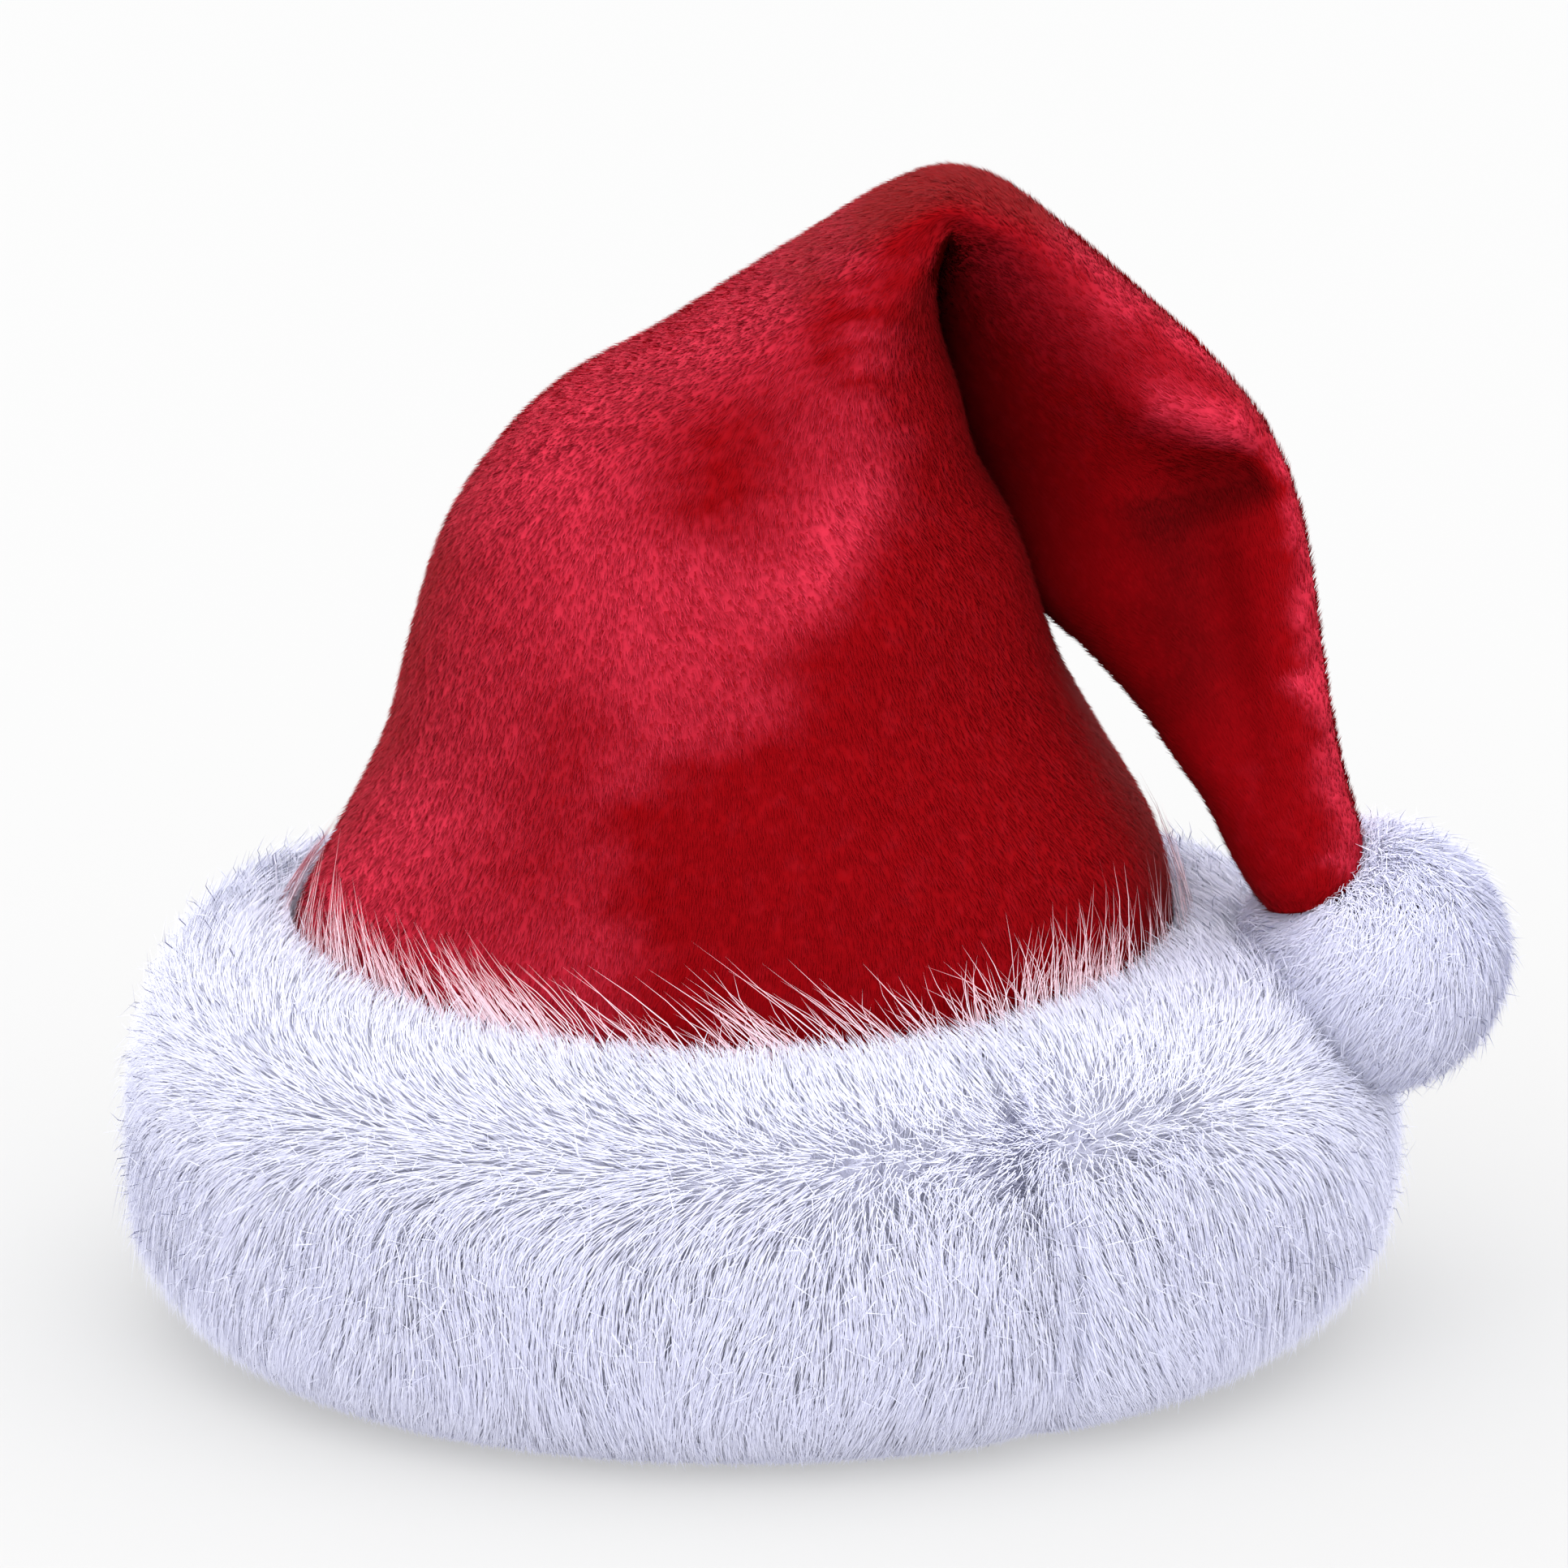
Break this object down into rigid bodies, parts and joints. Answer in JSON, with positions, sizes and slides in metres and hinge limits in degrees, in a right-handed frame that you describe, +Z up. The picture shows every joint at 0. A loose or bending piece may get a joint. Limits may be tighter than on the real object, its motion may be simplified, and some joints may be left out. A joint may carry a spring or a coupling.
{
  "type": "santa hat",
  "caption": "Red plush Santa hat that stands on its deep white fur band, open underneath for a head, with a folded hanging tail and a fur pompom",
  "frame": {"origin": "middle of the hat's footprint box, on the surface that the fur band stands on", "axes": "+Z up, -Y towards the wearer's front side that the picture shows, +X the side that the tail and pompom fall to"},
  "size_m": [0.3005, 0.2738, 0.2547],
  "materials": {
    "red_plush": "short glossy plush pile",
    "white_fur": "long soft synthetic fur"
  },
  "bodies": {
    "root": {"crown": "red_plush", "fur_band": "white_fur", "pompom": "white_fur"}
  },
  "joints": []
}
